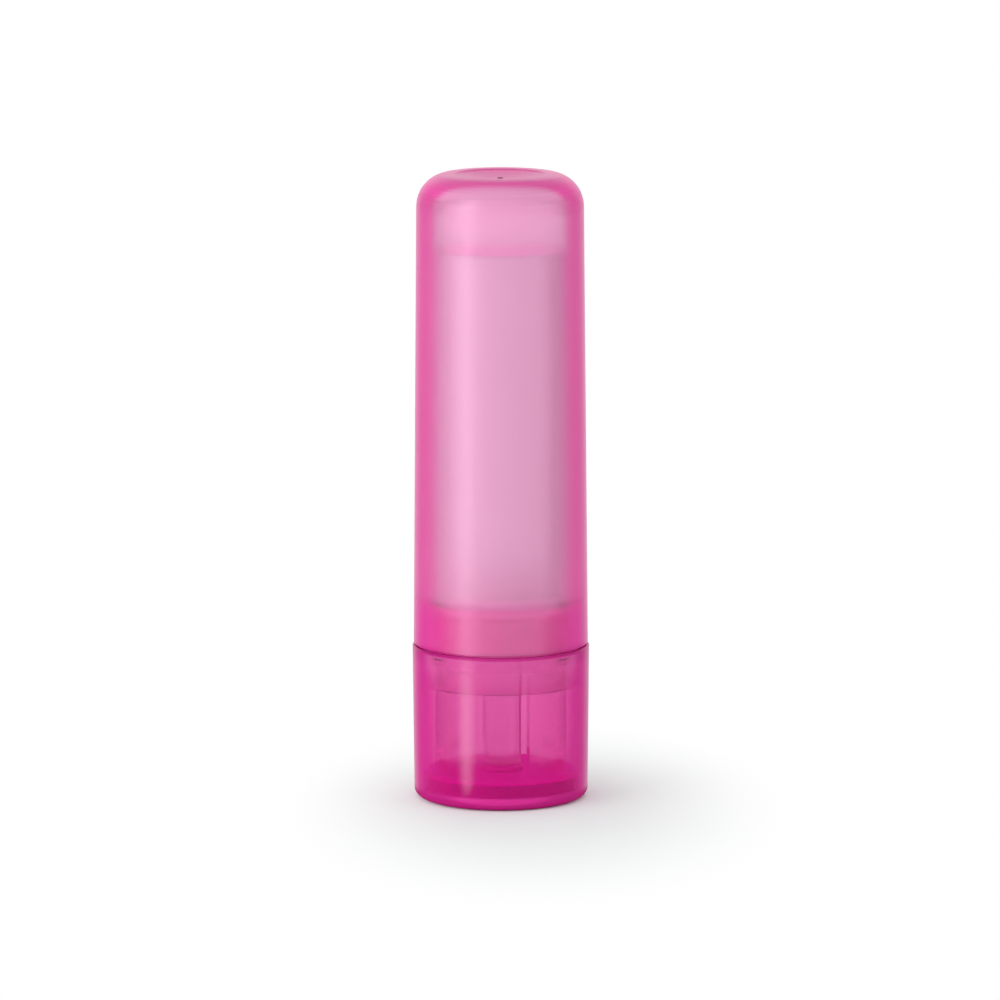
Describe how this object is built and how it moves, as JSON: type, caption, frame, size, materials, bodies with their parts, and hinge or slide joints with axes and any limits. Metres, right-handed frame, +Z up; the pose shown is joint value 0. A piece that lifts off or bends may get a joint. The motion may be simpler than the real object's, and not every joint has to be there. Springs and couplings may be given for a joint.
{
  "type": "lip balm stick",
  "caption": "Upright twist-up lip balm stick: frosted push-on cap, white barrel on a clear tinted neck, turning clear base with a drive screw inside.",
  "frame": {"origin": "centre of the underside of the base, on the surface that the stick stands on", "axes": "+Z up along the stick's axis towards the cap; the stick's front faces -Y"},
  "size_m": [0.02, 0.02, 0.071],
  "materials": {
    "clear_tint": "gloss",
    "deep_tint": "gloss",
    "clear_tint_neck": "gloss",
    "white_plastic": "satin",
    "natural_plastic": "matte",
    "balm": "waxy",
    "frosted_tint": "frosted"
  },
  "bodies": {
    "base": {"base_cup": "clear_tint", "drive_screw": "deep_tint"},
    "barrel": {"neck": "clear_tint_neck", "barrel": "white_plastic"},
    "carrier": {"carrier": "natural_plastic", "balm": "balm"},
    "cap": {"cap": "frosted_tint"}
  },
  "joints": [
    {"name": "twist", "type": "hinge", "parent": "base", "child": "barrel", "pos_m": [0, 0, 0], "axis": [0, 0, 1], "range_deg": [0, 1800]},
    {"name": "balm_rise", "type": "slide", "parent": "barrel", "child": "carrier", "axis": [0, 0, 1], "range_m": [0, 0.03]},
    {"name": "cap_lift", "type": "slide", "parent": "carrier", "child": "cap", "axis": [0, 0, 1], "range_m": [0, 0.05]}
  ],
  "couplings": [
    {"joint": "balm_rise", "follows": "twist", "m_per_rad": 0.00095493}
  ]
}
